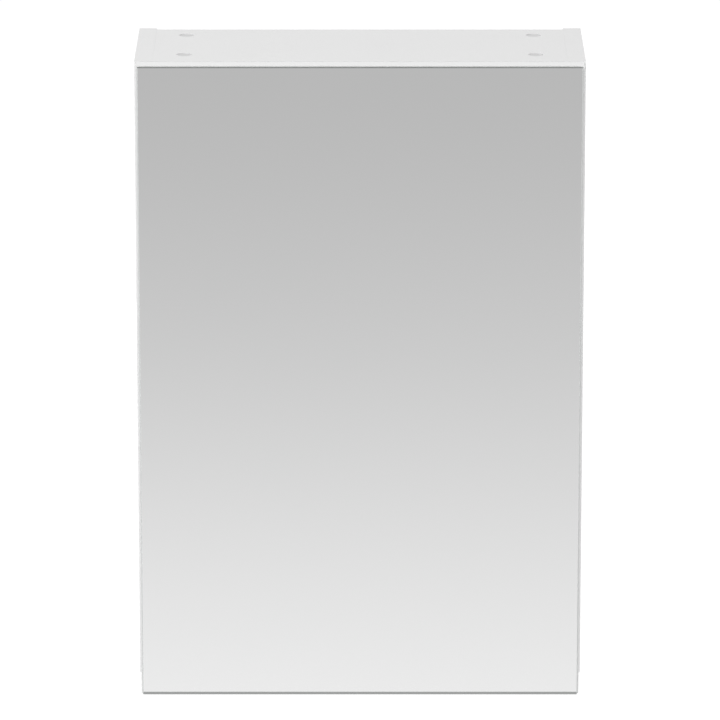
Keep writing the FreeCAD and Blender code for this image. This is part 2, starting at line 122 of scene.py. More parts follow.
def object_place(tree):
    """The place of each point in its piece's own coordinates."""
    return add_node(tree, "ShaderNodeTexCoord").outputs["Object"]


# %% [markdown]
# ## The studio floor
# The cabinet hangs above a large pale floor. The camera should see plain white behind it, so part of
# the floor's brightness is a glow that only camera, glossy and transmission rays meet. The rest is an
# ordinary matt surface, which throws light back up at the cabinet. It ends before the lamps, so that no
# bright pools show under them, and the glow takes over there. The mirror looks down at the floor in
# front, and there the paper's colour and glow are painted darker with distance, a painted shade that
# stands in for light falling off across a room. The mirror's soft shading from grey at the top to near
# white at the bottom is the reflection of this painted shade. The painted shade darkens to both sides
# too, for the mirror of the open door. From below, the paper is clear, so that the underside of the
# cabinet can be looked at too.

# %% Make the floor
FLOOR_LEVEL = -1.0
FLOOR_HALF = 40.0

bpy.ops.object.select_all(action="DESELECT")
bpy.ops.mesh.primitive_plane_add(size=2 * FLOOR_HALF, location=(0, 0, FLOOR_LEVEL))
floor = bpy.context.object
floor.name = "studio_floor"
bpy.ops.object.transform_apply(location=True, rotation=True, scale=True)
floor_paper = bpy.data.materials.new("floor_paper")
floor_paper.use_nodes = True
floor.data.materials.append(floor_paper)
print("floor at", FLOOR_LEVEL, "m,", 2 * FLOOR_HALF, "m across")

# %% The painted shade of the paper
SIDE_CLEAR = 0.55
SIDE_PULL = 3.4
SHADE_START = 1.213
SHADE_END = 5.0
SHADE_POWER = 1.85
# Painted shade: the paper's grey near the mirror and far out, standing in for light falling off.
FAR_SHADE_TONE = 0.443
NEAR_SHADE_TONE = 0.736


def length(tree, vector):
    """The output of a Vector Math node that measures a length."""
    return add_node(tree, "ShaderNodeVectorMath", {0: vector}, operation="LENGTH").outputs["Value"]


mirror_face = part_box("mirror_glass")[0].y
tree = floor_paper.node_tree
tree.nodes.clear()
place = object_place(tree)
split = add_node(tree, "ShaderNodeSeparateXYZ", {0: place}).outputs
sideways = calculate(tree, "ABSOLUTE", split["X"])
beside = calculate(tree, "MULTIPLY_ADD", sideways, SIDE_PULL, -SIDE_PULL * SIDE_CLEAR)
ahead = calculate(tree, "SUBTRACT", mirror_face, split["Y"])
outward = [calculate(tree, "MAXIMUM", part, 0.0) for part in (beside, ahead)]
away = add_node(tree, "ShaderNodeCombineXYZ", dict(enumerate(outward))).outputs[0]
# Painted shade: the grey is painted darker with distance from the mirror and to the sides.
fade = {"From Min": SHADE_END, "From Max": SHADE_START}
ease = rescale(tree, length(tree, away), fade, clamp=False)
curve = calculate(tree, "POWER", calculate(tree, "MAXIMUM", ease, 0.0), SHADE_POWER)
tone = calculate(tree, "MULTIPLY_ADD", curve, NEAR_SHADE_TONE - FAR_SHADE_TONE, FAR_SHADE_TONE)
capped = calculate(tree, "MINIMUM", tone, 1.0)
grey = add_node(tree, "ShaderNodeCombineColor", dict.fromkeys(range(3), capped)).outputs[0]
print("paper from", NEAR_SHADE_TONE, "at", SHADE_START, "m to", FAR_SHADE_TONE, "at", SHADE_END, "m")

# %% Matt near the cabinet, glowing further out, clear from below
MATT_SHARE = 0.4
MATT_NEAR = 1.8
MATT_FAR = 3.4
GLOW_SHARE = 1.2
BLACK = (0, 0, 0, 1)


def seen_rays(tree):
    """1 for camera, glossy and transmission rays, which show a background, and 0 for the others."""
    rays = add_node(tree, "ShaderNodeLightPath").outputs
    direct = calculate(tree, "MAXIMUM", rays["Is Camera Ray"], rays["Is Glossy Ray"])
    return calculate(tree, "MAXIMUM", direct, rays["Is Transmission Ray"])


fade = {"From Min": MATT_NEAR, "From Max": MATT_FAR, "To Min": MATT_SHARE, "To Max": 0.0}
share = rescale(tree, length(tree, place), fade, interpolation_type="SMOOTHSTEP")
matt = add_node(tree, "ShaderNodeBsdfDiffuse", {"Color": blend(tree, share, BLACK, grey)})
rest = calculate(tree, "SUBTRACT", GLOW_SHARE, share)
strength = calculate(tree, "MULTIPLY", seen_rays(tree), rest)
glow = add_node(tree, "ShaderNodeEmission", {"Color": grey, "Strength": strength})
upper = add_node(tree, "ShaderNodeAddShader", {0: matt.outputs[0], 1: glow.outputs[0]})
lower = add_node(tree, "ShaderNodeBsdfTransparent")
below = add_node(tree, "ShaderNodeNewGeometry").outputs["Backfacing"]
paper = add_node(tree, "ShaderNodeMixShader", {0: below, 1: upper.outputs[0], 2: lower.outputs[0]})
add_node(tree, "ShaderNodeOutputMaterial", {"Surface": paper.outputs[0]})
print("matt share", MATT_SHARE, "out to", MATT_NEAR, "m and gone at", MATT_FAR, "m")

# %% [markdown]
# ## Light
# White boards show no shape under light that is too flat and clip under light that is too strong. A
# white sky does half of the work. One broad soft lamp from the upper left makes a small difference
# between left and right, so that the sunk caps on the top show their rims. Two low lamps at the sides
# light the side panels and the door's narrow edges. They stand at the height of the cabinet's middle,
# so that the top doesn't glare when it is seen from behind. A photographer keeps lamps out of a mirror,
# and so glossy rays don't meet these two.

# %% Sky
SKY_LEVEL = 0.75
WHITE = (1, 1, 1, 1)

sky = bpy.data.worlds.new("white_sky")
sky.use_nodes = True
tree = sky.node_tree
tree.nodes.clear()
level = rescale(tree, seen_rays(tree), {"To Min": SKY_LEVEL, "To Max": 1.0})
light = add_node(tree, "ShaderNodeBackground", {"Color": WHITE, "Strength": level})
add_node(tree, "ShaderNodeOutputWorld", {"Surface": light.outputs[0]})
bpy.context.scene.world = sky
print("sky", SKY_LEVEL)

# %% Lamps
HIGH_PLACE = (-1.8, -3.2, 2.6)
HIGH_AIM = (0, -0.1, -0.1)
LOW_AIM = (0, -0.1, -0.3)
LOW_OUT = 4.05
LOW_AHEAD = -2.25


def soft_lamp(name, place, target, across, power, mirrored):
    """A square area lamp that faces a point; mirrored says whether glossy surfaces show it."""
    bpy.ops.object.select_all(action="DESELECT")
    bpy.ops.object.light_add(type="AREA", location=place)
    lamp = bpy.context.object
    lamp.name = name
    lamp.data.size = across
    lamp.data.energy = power
    lamp.visible_glossy = mirrored
    way = [t - p for t, p in zip(target, place)]
    flat = math.hypot(way[0], way[1])
    lamp.rotation_euler = (math.atan2(flat, -way[2]), 0, math.atan2(way[1], way[0]) - math.pi / 2)
    return lamp


lamps = [soft_lamp("left_lamp", HIGH_PLACE, HIGH_AIM, across=1.6, power=60.0, mirrored=True)]
for name, side, power in (("low_left_lamp", -1, 70.0), ("low_right_lamp", 1, 90.0)):
    lamp_place = (side * LOW_OUT, LOW_AHEAD, LOW_AIM[2])
    lamps.append(soft_lamp(name, lamp_place, LOW_AIM, across=1.2, power=power, mirrored=False))
print("lamps", [(lamp.name, lamp.data.energy) for lamp in lamps])

# %% [markdown]
# ## Effects that several finishes share
# Foil and mouldings have a fine grain, steel and beech have drawn lines, and most finishes share a
# slightly rounded edge and marks of handling. Each effect could be drawn again in every material, but a
# node group is built once and placed with its own values. A group gives out only a value, a mask or a
# normal, and the shader that uses it stays in the material.

# %% Group helpers
def start_group(name, inputs, outputs):
    """A node group with float inputs and named outputs: its tree, what it is given, its output node."""
    group = bpy.data.node_groups.new(name, "ShaderNodeTree")
    for label, value in inputs.items():
        socket = group.interface.new_socket(label, in_out="INPUT", socket_type="NodeSocketFloat")
        socket.default_value = value
    for label, kind in outputs.items():
        group.interface.new_socket(label, in_out="OUTPUT", socket_type=kind)
    return group, add_node(group, "NodeGroupInput").outputs, add_node(group, "NodeGroupOutput")


def place_group(tree, group, values):
    """The outputs of a group that is placed in a material with its values."""
    return add_node(tree, "ShaderNodeGroup", values, node_tree=group).outputs


# %% Fine grain
fine_grain, given, result = start_group("fine_grain", {"Scale": 800.0}, {"Value": "NodeSocketFloat"})
grain = add_node(fine_grain, "ShaderNodeTexNoise", {
    "Vector": object_place(fine_grain), "Scale": given["Scale"], "Detail": 3.0, "Roughness": 0.55,
})
feed(fine_grain, result, {"Value": grain.outputs[0]})
print("group", fine_grain.name)

# %% Softened edges
soft_edges, given, result = start_group(
    "soft_edges", {"Radius": 0.0003}, {"Normal": "NodeSocketVector", "Edge": "NodeSocketFloat"})
rounded = add_node(soft_edges, "ShaderNodeBevel", {"Radius": given["Radius"]}, samples=6).outputs[0]
facing = add_node(soft_edges, "ShaderNodeNewGeometry").outputs["Normal"]
turn = add_node(soft_edges, "ShaderNodeVectorMath", {0: rounded, 1: facing}, operation="DOT_PRODUCT")
worn = rescale(soft_edges, turn.outputs["Value"], {"From Min": 0.99, "From Max": 0.8})
feed(soft_edges, result, {"Normal": rounded, "Edge": worn})
print("group", soft_edges.name)

# %% Marks of handling
handling_marks, given, result = start_group("handling_marks", {"Scale": 9.0}, {"Mask": "NodeSocketFloat"})
broad = add_node(handling_marks, "ShaderNodeTexNoise", {
    "Vector": object_place(handling_marks), "Scale": given["Scale"],
    "Detail": 5.0, "Roughness": 0.65, "Distortion": 0.6,
})
patches = rescale(handling_marks, broad.outputs[0], {"From Min": 0.48, "From Max": 0.75})
feed(handling_marks, result, {"Mask": patches})
print("group", handling_marks.name)

# %% Lines left by rolling and brushing
brush_lines, given, result = start_group(
    "brush_lines", {"Along X": 900.0, "Along Y": 900.0, "Along Z": 25.0}, {"Value": "NodeSocketFloat"})
scales = {axis: given["Along " + axis] for axis in "XYZ"}
stretch = add_node(brush_lines, "ShaderNodeCombineXYZ", scales).outputs[0]
factors = {0: object_place(brush_lines), 1: stretch}
drawn = add_node(brush_lines, "ShaderNodeVectorMath", factors, operation="MULTIPLY").outputs[0]
lines = add_node(brush_lines, "ShaderNodeTexNoise", {"Vector": drawn, "Scale": 1.0, "Detail": 2.0})
feed(brush_lines, result, {"Value": lines.outputs[0]})
print("group", brush_lines.name)

# %% [markdown]
# ## Solid finishes
# The boards are chipboard in white foil with a faint pearl grain, and the banding on their edges is a
# little brighter and smoother. Caps and housings are moulded. All of these share one recipe: two close
# tones mixed by the grain, a roughness that varies with handling, a shallow bump and a rounded edge.

# %% One recipe for matt and satin surfaces
HAND_SCALE = 14.0
GRAIN_DEPTH = 0.0002


def start_material(name):
    """A new material, its node tree and its Principled BSDF."""
    material = bpy.data.materials.new(name)
    material.use_nodes = True
    return material, material.node_tree, material.node_tree.nodes["Principled BSDF"]


def vary(tree, mask, ends):
    """A value that goes from one end to the other with a mask."""
    return rescale(tree, mask, {"To Min": ends[0], "To Max": ends[1]})


def solid_finish(name, dark, light, rough, grain_scale, bump, edge, sheen=0.5):
    """Two tones by grain, roughness by handling, shallow bump and softened edges."""
    material, tree, shader = start_material(name)
    speck = place_group(tree, fine_grain, {"Scale": grain_scale})["Value"]
    rim = place_group(tree, soft_edges, {"Radius": edge})["Normal"]
    marks = place_group(tree, handling_marks, {"Scale": HAND_SCALE})["Mask"]
    relief = add_node(tree, "ShaderNodeBump", {
        "Strength": bump, "Distance": GRAIN_DEPTH, "Height": speck, "Normal": rim,
    })
    feed(tree, shader, {
        "Base Color": blend(tree, speck, (*dark, 1), (*light, 1)),
        "Roughness": vary(tree, marks, rough),
        "Specular IOR Level": sheen,
        "Normal": relief.outputs[0],
    })
    return material


# %% Boards, mouldings, foam and paint
white_foil = solid_finish(
    "white_foil", (0.80, 0.80, 0.80), (0.84, 0.84, 0.84),
    rough=(0.5, 0.6), grain_scale=1400, bump=0.12, edge=0.0003, sheen=0.2)
white_edging = solid_finish(
    "white_edging", (0.87, 0.87, 0.87), (0.89, 0.89, 0.89),
    rough=(0.46, 0.54), grain_scale=900, bump=0.06, edge=0.0002, sheen=0.2)
cap_grey = solid_finish(
    "cap_grey", (0.64, 0.64, 0.64), (0.72, 0.72, 0.72),
    rough=(0.6, 0.7), grain_scale=1800, bump=0.2, edge=0.0002, sheen=0.12)
white_moulding = solid_finish(
    "white_moulding", (0.80, 0.80, 0.79), (0.84, 0.84, 0.83),
    rough=(0.38, 0.48), grain_scale=1600, bump=0.2, edge=0.0005)
foam_white = solid_finish(
    "foam_white", (0.66, 0.66, 0.65), (0.88, 0.88, 0.87),
    rough=(0.85, 0.95), grain_scale=2400, bump=0.6, edge=0.0002)
soft_polymer = solid_finish(
    "soft_polymer", (0.74, 0.75, 0.75), (0.80, 0.81, 0.81),
    rough=(0.2, 0.3), grain_scale=900, bump=0.05, edge=0.0003)
backing_paint = solid_finish(
    "backing_paint", (0.40, 0.43, 0.42), (0.46, 0.48, 0.47),
    rough=(0.5, 0.62), grain_scale=700, bump=0.2, edge=0.0002)
print("solid finishes", white_foil.name, white_edging.name, cap_grey.name, white_moulding.name)
print("and", foam_white.name, soft_polymer.name, backing_paint.name)

# %% [markdown]
# ## Chipboard, fibreboard and beech
# Where a board is cut and carries no banding, at its rear edge and in its holes, the pressed flakes
# show. They lie flat in the board, so they are thin across an upright board's edge and thin the other
# way across a level one, and each kind gets its own squash. The thin back sheet is white in front and
# bare brown fibreboard behind. The dowels are beech. Flakes and fibres are cells of a Voronoi texture,
# and wood grain is stretched noise.

# %% Flakes and fibres
FLAKE_TONES = ((0.44, 0.31, 0.18), (0.78, 0.63, 0.44))
FIBRE_TONES = ((0.33, 0.21, 0.12), (0.41, 0.27, 0.16))
FLAKE_BUMP = 0.4
FLAKE_DEPTH = 0.0003


def flake_finish(name, dark, light, cell_scale, squash, rough):
    """Pressed flakes, each cell with its own tone."""
    material, tree, shader = start_material(name)
    lay = add_node(tree, "ShaderNodeMapping", {"Vector": object_place(tree), "Scale": squash})
    cells = add_node(tree, "ShaderNodeTexVoronoi", {
        "Vector": lay.outputs[0], "Scale": cell_scale, "Randomness": 1.0,
    }).outputs
    chance = add_node(tree, "ShaderNodeSeparateColor", {0: cells["Color"]}).outputs[0]
    relief = add_node(tree, "ShaderNodeBump", {
        "Strength": FLAKE_BUMP, "Distance": FLAKE_DEPTH, "Height": cells["Distance"],
    })
    feed(tree, shader, {
        "Base Color": blend(tree, chance, (*dark, 1), (*light, 1)),
        "Roughness": rough,
        "Normal": relief.outputs[0],
    })
    return material


chipboard_upright = flake_finish(
    "chipboard_upright", *FLAKE_TONES, cell_scale=300, squash=(2.4, 1, 0.7), rough=0.8)
chipboard_level = flake_finish(
    "chipboard_level", *FLAKE_TONES, cell_scale=300, squash=(0.7, 1, 2.4), rough=0.8)
fibreboard = flake_finish("fibreboard", *FIBRE_TONES, cell_scale=1500, squash=(1, 1, 1), rough=0.72)
print("board finishes", chipboard_upright.name, chipboard_level.name, fibreboard.name)

# %% Beech
BEECH_DARK = (0.55, 0.37, 0.21, 1)
BEECH_LIGHT = (0.74, 0.56, 0.37, 1)

beech, tree, shader = start_material("beech_wood")
veins = place_group(tree, brush_lines, {"Along X": 60.0, "Along Y": 1600.0, "Along Z": 1600.0})["Value"]
feed(tree, shader, {"Base Color": blend(tree, veins, BEECH_DARK, BEECH_LIGHT), "Roughness": 0.6})
print("wood finish", beech.name)

# %% [markdown]
# ## Plated steel
# The wall plates, cams and screws are zinc plated, which is bluish and slightly cloudy. The hinges and
# shelf pins are nickel, which is warmer and shinier. Both get fine lines from rolling, and the edges
# are brighter where the plating is rubbed.

# %% Metal finishes
CLOUD_SCALE = 60.0
LINE_BUMP = 0.08
LINE_DEPTH = 0.0001
PLATE_EDGE = 0.0004
RUBBED = (0.86, 0.86, 0.85, 1)


def plated_finish(name, dark, light, rough, lines_along):
    """Metal with rolling lines, cloudy gloss and rubbed edges."""
    material, tree, shader = start_material(name)
    rolled = place_group(tree, brush_lines, lines_along)["Value"]
    rim = place_group(tree, soft_edges, {"Radius": PLATE_EDGE})
    cloud = place_group(tree, handling_marks, {"Scale": CLOUD_SCALE})["Mask"]
    plating = blend(tree, rolled, (*dark, 1), (*light, 1))
    relief = add_node(tree, "ShaderNodeBump", {
        "Strength": LINE_BUMP, "Distance": LINE_DEPTH, "Height": rolled, "Normal": rim["Normal"],
    })
    feed(tree, shader, {
        "Metallic": 1.0,
        "Base Color": blend(tree, rim["Edge"], plating, RUBBED),
        "Roughness": vary(tree, cloud, rough),
        "Normal": relief.outputs[0],
    })
    return material


zinc = plated_finish(
    "zinc_plate", (0.36, 0.38, 0.40), (0.52, 0.53, 0.55), rough=(0.3, 0.44),
    lines_along={"Along X": 900.0, "Along Y": 900.0, "Along Z": 40.0})
nickel = plated_finish(
    "nickel_plate", (0.62, 0.60, 0.57), (0.72, 0.70, 0.67), rough=(0.2, 0.32),
    lines_along={"Along X": 40.0, "Along Y": 1200.0, "Along Z": 1200.0})
print("metal finishes", zinc.name, nickel.name)

# %% [markdown]
# ## Glass and mirror
# The mirror is a pane silvered on its back. From the front only the reflection matters, so its front
# face is a clean polished metal with a trace of unevenness in the gloss. Its edges are ground glass,
# given three brightnesses by the way they face: the top edge is dark, partly the glass's own colour and
# partly painted shade; the bevel along the bottom is mid grey as painted shade; and the sides are bright,
# a painted reflection of the white door. The shelves are clear glass whose polished edges look green,
# because there the light has travelled a long way through the pane.

# %% Mirror finishes
SILVER = (0.90, 0.90, 0.90, 1)
DIM_SILVER = (0.895, 0.897, 0.897, 1)

silvered, tree, shader = start_material("silvered_front")
haze = place_group(tree, handling_marks, {"Scale": 6.0})["Mask"]
feed(tree, shader, {
    "Metallic": 1.0,
    "Base Color": blend(tree, haze, SILVER, DIM_SILVER),
    "Roughness": vary(tree, haze, (0.012, 0.03)),
})
# One ground edge in three tones by facing: the dark top and grey bottom bevel are painted shade, the
# bright sides a painted reflection of the white door.
top_edge_dark_and_painted_shade = solid_finish(
    "top_edge_dark_and_painted_shade", (0.10, 0.11, 0.105), (0.15, 0.16, 0.155),
    rough=(0.2, 0.32), grain_scale=1500, bump=0.15, edge=0.0002)
bevel_painted_shade = solid_finish(
    "bevel_painted_shade", (0.34, 0.35, 0.345), (0.39, 0.40, 0.395),
    rough=(0.2, 0.32), grain_scale=1500, bump=0.15, edge=0.0002)
sides_painted_reflection = solid_finish(
    "sides_painted_reflection", (0.66, 0.68, 0.67), (0.74, 0.76, 0.75),
    rough=(0.12, 0.2), grain_scale=1500, bump=0.1, edge=0.0002)
print("mirror finishes", silvered.name, top_edge_dark_and_painted_shade.name, bevel_painted_shade.name, sides_painted_reflection.name)

# %% Shelf glass
GLASS_IOR = 1.52
MARKED_SHARE = 0.985


def clear_finish(name, tint, rough, through):
    """Glass with a tint and a trace of handling; through is the share of light that passes."""
    material, tree, shader = start_material(name)
    marks = place_group(tree, handling_marks, {"Scale": 11.0})["Mask"]
    marked = [MARKED_SHARE * t for t in tint]
    feed(tree, shader, {
        "Transmission Weight": through,
        "IOR": GLASS_IOR,
        "Base Color": blend(tree, marks, (*tint, 1), (*marked, 1)),
        "Roughness": vary(tree, marks, rough),
    })
    return material


pane_glass = clear_finish("pane_glass", (0.95, 0.985, 0.97), rough=(0.0, 0.03), through=1.0)
edge_glass = clear_finish("edge_glass", (0.50, 0.73, 0.65), rough=(0.08, 0.16), through=0.25)
print("glass finishes", pane_glass.name, edge_glass.name)

# %% [markdown]
# ## Dressing the CAD nodes
# A CAD node keeps its mesh, and only its material slots change. Some nodes need two finishes or more: a
# board is white outside and chipboard where it is cut, and the mirror is silvered in front, painted
# behind and ground along its edges. Each face is told apart by where it lies and which way it looks.
# Nodes that are modelled again further down are left out.

# %% Give a node its finishes
def dress(name, finishes, choose=lambda face: 0):
    """Materials for a node; choose gives each face the number of its finish."""
    mesh = nodes[name].data
    mesh.materials.clear()
    for finish in finishes:
        mesh.materials.append(finish)
    for face in mesh.polygons:
        face.material_index = choose(face)


PLAIN_NODES = (
    (white_edging, ("carcass_edge_banding", "door_edge_banding")),
    (beech, ("dowels",)),
    (foam_white, ("mirror_tape",)),
    (white_moulding, ("hanger_body_left", "hanger_body_right")),
    (zinc, ("cam_locks", "cam_bolts", "wall_plate_left", "wall_plate_right", "hanger_hook_left",
            "hanger_hook_right", "hanger_adjusters")),
    (nickel, ("hinge_arm_pins", "hinge_cup_pins", "hinge_base_upper", "hinge_base_lower",
              "hinge_arm_upper", "hinge_arm_lower", "hinge_link_upper", "hinge_link_lower")),
)
for finish, names in PLAIN_NODES:
    for name in names:
        dress(name, [finish])
print("plain nodes", sum(len(names) for finish, names in PLAIN_NODES))

# %% Boards: white outside, flakes where they are cut
MM = 0.001
CAP_RADIUS = 7.4
CAM_BORE = 7.5
BORE_PLAY = 0.2
FLUSH = 0.1
SQUARE_ON = 0.99
REAR = (1, 1)


def box_in_mm(name):
    """The two corners of a CAD node's box, in millimetres."""
    return [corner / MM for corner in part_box(name)]


cap_low, cap_high = box_in_mm("cam_caps")
cap_columns = (cap_low.x + CAP_RADIUS, cap_high.x - CAP_RADIUS)
cap_rows = (cap_low.y + CAP_RADIUS, cap_high.y - CAP_RADIUS)
cap_spots = [(x, y) for x in cap_columns for y in cap_rows]


def skin(name, cut_sides):
    """A choice for boards: 0 for outer faces and cam bores, 1 for other holes and the cut sides."""
    low, high = box_in_mm(name)
    outside = []
    for axis in range(3):
        for end, value in ((-1, low[axis]), (1, high[axis])):
            if (axis, end) not in cut_sides:
                outside.append((axis, end, value))

    def choose(face):
        middle = face.center / MM
        for axis, end, value in outside:
            if face.normal[axis] * end > SQUARE_ON and abs(middle[axis] - value) < FLUSH:
                return 0
        bored = any(abs(math.dist(middle.xy, spot) - CAM_BORE) < BORE_PLAY for spot in cap_spots)
        return 0 if bored else 1
    return choose


BOARDS = (
    ("side_panel_left", chipboard_upright, [REAR]),
    ("side_panel_right", chipboard_upright, [REAR]),
    ("top_panel", chipboard_level, [REAR]),
    ("bottom_panel", chipboard_level, [REAR]),
    ("back_panel", fibreboard, [REAR]),
    ("door_board", chipboard_upright, []),
)
for name, cut_finish, cut_sides in BOARDS:
    dress(name, [white_foil, cut_finish], skin(name, cut_sides))
print("boards", len(BOARDS))

# %% Mirror
SIDEWAYS = 0.5


def mirror_faces(face):
    """A choice for the mirror: front, back, sides, top edge and bottom bevel."""
    if face.normal.y < -SQUARE_ON:
        return 0
    if face.normal.y > SQUARE_ON:
        return 1
    if abs(face.normal.x) > SIDEWAYS:
        return 2
    return 3 if face.normal.z > 0 else 4


# The edge finishes are painted shade at the top and bottom and a painted reflection at the sides.
dress("mirror_glass", [silvered, backing_paint, sides_painted_reflection, top_edge_dark_and_painted_shade, bevel_painted_shade], mirror_faces)
print("mirror with", len(nodes["mirror_glass"].data.materials), "finishes")

# %% [markdown]
# ## Modelling tools
# The small fittings are modelled again as by hand: start from a block or a round bar of the right size,
# pick edges or faces by their place, then bevel, inset or extrude them. These helpers keep the steps
# short. Each one clears the selection first, because an operator acts on everything that is selected.

# %% Select and settle
def clear_selection():
    """Leaves edit mode and deselects everything."""
    if bpy.context.object and bpy.context.object.mode != "OBJECT":
        bpy.ops.object.mode_set(mode="OBJECT")
    bpy.ops.object.select_all(action="DESELECT")


def take(piece):
    """Selects one piece and makes it active."""
    clear_selection()
    piece.select_set(True)
    bpy.context.view_layer.objects.active = piece


def settle(piece):
    """Moves the piece's place, turn and scale into its mesh."""
    take(piece)
    bpy.ops.object.transform_apply(location=True, rotation=True, scale=True)


# %% Start from a block or a bar
def start_block(name, low, high):
    """A block between two corners in millimetres."""
    clear_selection()
    middle = [(a + b) / 2 * MM for a, b in zip(low, high)]
    bpy.ops.mesh.primitive_cube_add(size=1, location=middle)
    piece = bpy.context.object
    piece.name = piece.data.name = name
    piece.scale = [(b - a) * MM for a, b in zip(low, high)]
    settle(piece)
    return piece


def start_bar(name, radius, bottom, top, sides):
    """An upright round bar on the z axis, in millimetres."""
    clear_selection()
    middle = (0, 0, (top + bottom) / 2 * MM)
    bpy.ops.mesh.primitive_cylinder_add(
        vertices=sides, radius=radius * MM, depth=(top - bottom) * MM, location=middle)
    piece = bpy.context.object
    piece.name = piece.data.name = name
    settle(piece)
    return piece


# %% Pick faces and edges
NEAR = 0.01


def pick(piece, kind, test):
    """Opens edit mode with the faces whose normal, or edges whose two ends in mm, pass the test."""
    take(piece)
    mesh = piece.data
    for items in (mesh.vertices, mesh.edges, mesh.polygons):
        for item in items:
            item.select = False
    if kind == "FACE":
        for face in mesh.polygons:
            face.select = test(face.normal)
    else:
        for edge in mesh.edges:
            edge.select = test(*(mesh.vertices[v].co / MM for v in edge.vertices))
    bpy.ops.object.mode_set(mode="EDIT")
    bpy.ops.mesh.select_mode(type=kind)


def looks_up(normal):
    """A test for faces that look straight up."""
    return normal.z > SQUARE_ON


def looks_down(normal):
    """A test for faces that look straight down."""
    return normal.z < -SQUARE_ON


def upright(a, b):
    """A test for edges whose ends differ in height."""
    return abs(a.z - b.z) > NEAR


def top_edge(height):
    """A test for edges that lie at a height or above it."""
    return lambda a, b: min(a.z, b.z) > height - NEAR


def bottom_edge(height):
    """A test for edges that lie at a height or below it."""
    return lambda a, b: max(a.z, b.z) < height + NEAR


# %% Bevel, draw out and carve
def round_edges(piece, test, width, steps):
    """Bevels the edges that pass the test."""
    pick(piece, "EDGE", test)
    bpy.ops.mesh.bevel(
        offset=width * MM, offset_type="OFFSET", segments=steps, affect="EDGES", clamp_overlap=True)
    bpy.ops.object.mode_set(mode="OBJECT")


def draw_out(piece, test, margin, height):
    """Insets the faces that pass the test by a margin, and extrudes what is left up by a height."""
    pick(piece, "FACE", test)
    bpy.ops.mesh.inset(thickness=margin * MM)
    bpy.ops.mesh.extrude_region_move(TRANSFORM_OT_translate={"value": (0, 0, height * MM)})
    bpy.ops.object.mode_set(mode="OBJECT")


def carve(piece, cutter):
    """Takes the cutter out of the piece with an applied Boolean."""
    take(piece)
    gouge = piece.modifiers.new("gouge", "BOOLEAN")
    gouge.operation = "DIFFERENCE"
    gouge.solver = "EXACT"
    gouge.object = cutter
    bpy.ops.object.modifier_apply(modifier=gouge.name)
    bpy.data.objects.remove(cutter, do_unlink=True)


# %% Join, copy and finish
CREASE = 35


def join(name, pieces):
    """One piece from several."""
    clear_selection()
    for piece in pieces:
        piece.select_set(True)
    bpy.context.view_layer.objects.active = pieces[0]
    if len(pieces) > 1:
        bpy.ops.object.join()
    pieces[0].name = pieces[0].data.name = name
    return pieces[0]


def lay_out(name, pattern, places):
    """One piece from copies of a pattern, each at an x, y and z in millimetres and with its own turn."""
    copies = []
    for x, y, z, turn in places:
        take(pattern)
        bpy.ops.object.duplicate()
        copy = bpy.context.object
        copy.rotation_euler = turn
        copy.location = (x * MM, y * MM, z * MM)
        settle(copy)
        copies.append(copy)
    return join(name, copies)


def drop(pattern):
    """Removes a pattern that has been copied."""
    bpy.data.objects.remove(pattern, do_unlink=True)


def finish_piece(piece, body, finishes, replaced, crease=CREASE):
    """Smooth shading below the crease angle, finishes, body, and hiding the node that it stands for."""
    take(piece)
    bpy.ops.object.shade_smooth_by_angle(angle=math.radians(crease))
    piece.data.materials.clear()
    for finish in finishes:
        piece.data.materials.append(finish)
    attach(piece, body)
    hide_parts(replaced)
    triangles = sum(len(face.vertices) - 2 for face in piece.data.polygons)
    print(piece.name, "for", replaced, triangles, "triangles")


# %% [markdown]
# ## Cam caps
# Eight round caps hide the cam fittings, four in the top and four under the bottom. Each is a thin
# moulded disc pressed in a little below the board's face. One cap is turned from a round bar: the rim
# is bevelled, and the face is inset and pushed in for a shallow dish.

# %% Cam caps
CAP_THICK = 1.6
CAP_EDGE = 0.35
CAP_RIM = 1.0
DISH_SLOPE = 0.35
DISH_DEPTH = 0.2
CAP_CREASE = 25
FACING_UP = (0, 0, 0)
FACING_DOWN = (math.pi, 0, 0)

cap = start_bar("cap_pattern", CAP_RADIUS, -CAP_THICK, 0.0, sides=64)
round_edges(cap, top_edge(0.0), CAP_EDGE, steps=3)
pick(cap, "FACE", looks_up)
bpy.ops.mesh.inset(thickness=CAP_RIM * MM)
bpy.ops.mesh.inset(thickness=DISH_SLOPE * MM)
bpy.ops.transform.translate(value=(0, 0, -DISH_DEPTH * MM))
bpy.ops.object.mode_set(mode="OBJECT")
places = [(x, y, cap_high.z, FACING_UP) for x, y in cap_spots]
places += [(x, y, cap_low.z, FACING_DOWN) for x, y in cap_spots]
caps = lay_out("moulded_cam_caps", cap, places)
drop(cap)
finish_piece(caps, "carcass", [cap_grey], "cam_caps", crease=CAP_CREASE)

# %% [markdown]
# ## Glass shelves
# Each shelf is a 5 mm pane with polished edges and two rounded front corners. A block gets the corner
# radius first, and then a fine bevel all round, which catches the light as polished glass does. The
# crease angle is small, so that the large faces keep their flat normals: smooth shading that runs over
# from the bevel would bend what is seen through the pane. The faces that look sideways take the
# greener edge glass.

# %% Glass shelves
SHELF_CORNER = 4.0
SHELF_ARRIS = 0.6
SHELF_CREASE = 20
PANE_FACE = 0.95


def front_corner(front):
    """A test for upright edges along the front."""
    return lambda a, b: upright(a, b) and max(a.y, b.y) < front + NEAR


for level, body in (("upper", "upper_shelf"), ("lower", "lower_shelf")):
    node = "shelf_" + level
    low, high = box_in_mm(node)
    pane = start_block("polished_shelf_" + level, low, high)
    round_edges(pane, front_corner(low.y), SHELF_CORNER, steps=8)
    round_edges(pane, lambda a, b: not upright(a, b), SHELF_ARRIS, steps=2)
    finish_piece(pane, body, [pane_glass, edge_glass], node, crease=SHELF_CREASE)
    for face in pane.data.polygons:
        face.material_index = 0 if abs(face.normal.z) > PANE_FACE else 1

